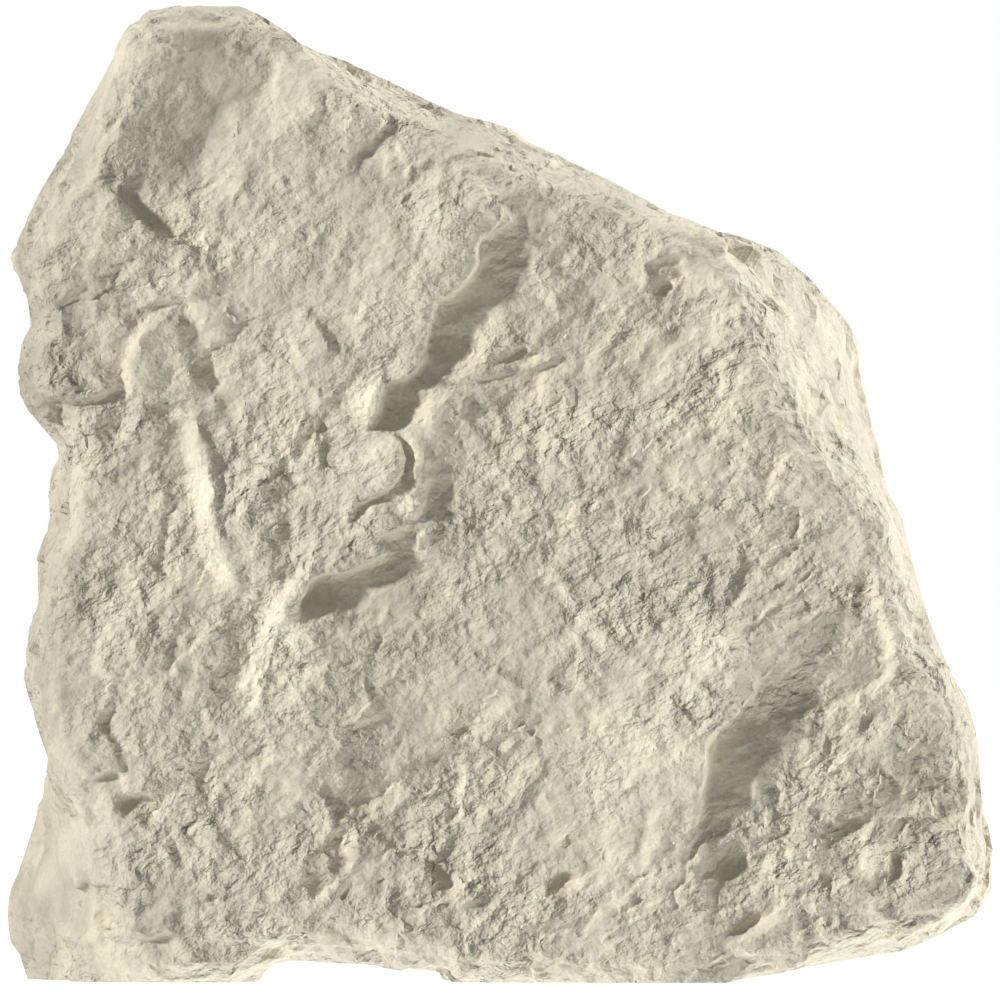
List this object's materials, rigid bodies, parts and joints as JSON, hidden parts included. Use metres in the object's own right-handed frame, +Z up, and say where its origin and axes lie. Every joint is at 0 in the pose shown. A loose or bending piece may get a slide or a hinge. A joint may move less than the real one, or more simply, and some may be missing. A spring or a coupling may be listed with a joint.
{
  "type": "chalk rock",
  "caption": "Broken block of pale chalk with a stepped, plated front face, rough bedded sides and a flat foot to stand on.",
  "frame": {"origin": "centre of the block's plan box, on the surface that it stands on", "axes": "+Z up; the broad plated face looks along -Y; +X is to the right of someone who faces it"},
  "size_m": [0.2456, 0.128, 0.2426],
  "materials": {
    "chalk": "matte, broken, finely crumbly"
  },
  "bodies": {
    "root": {"chalk_rock": "chalk"}
  },
  "joints": []
}
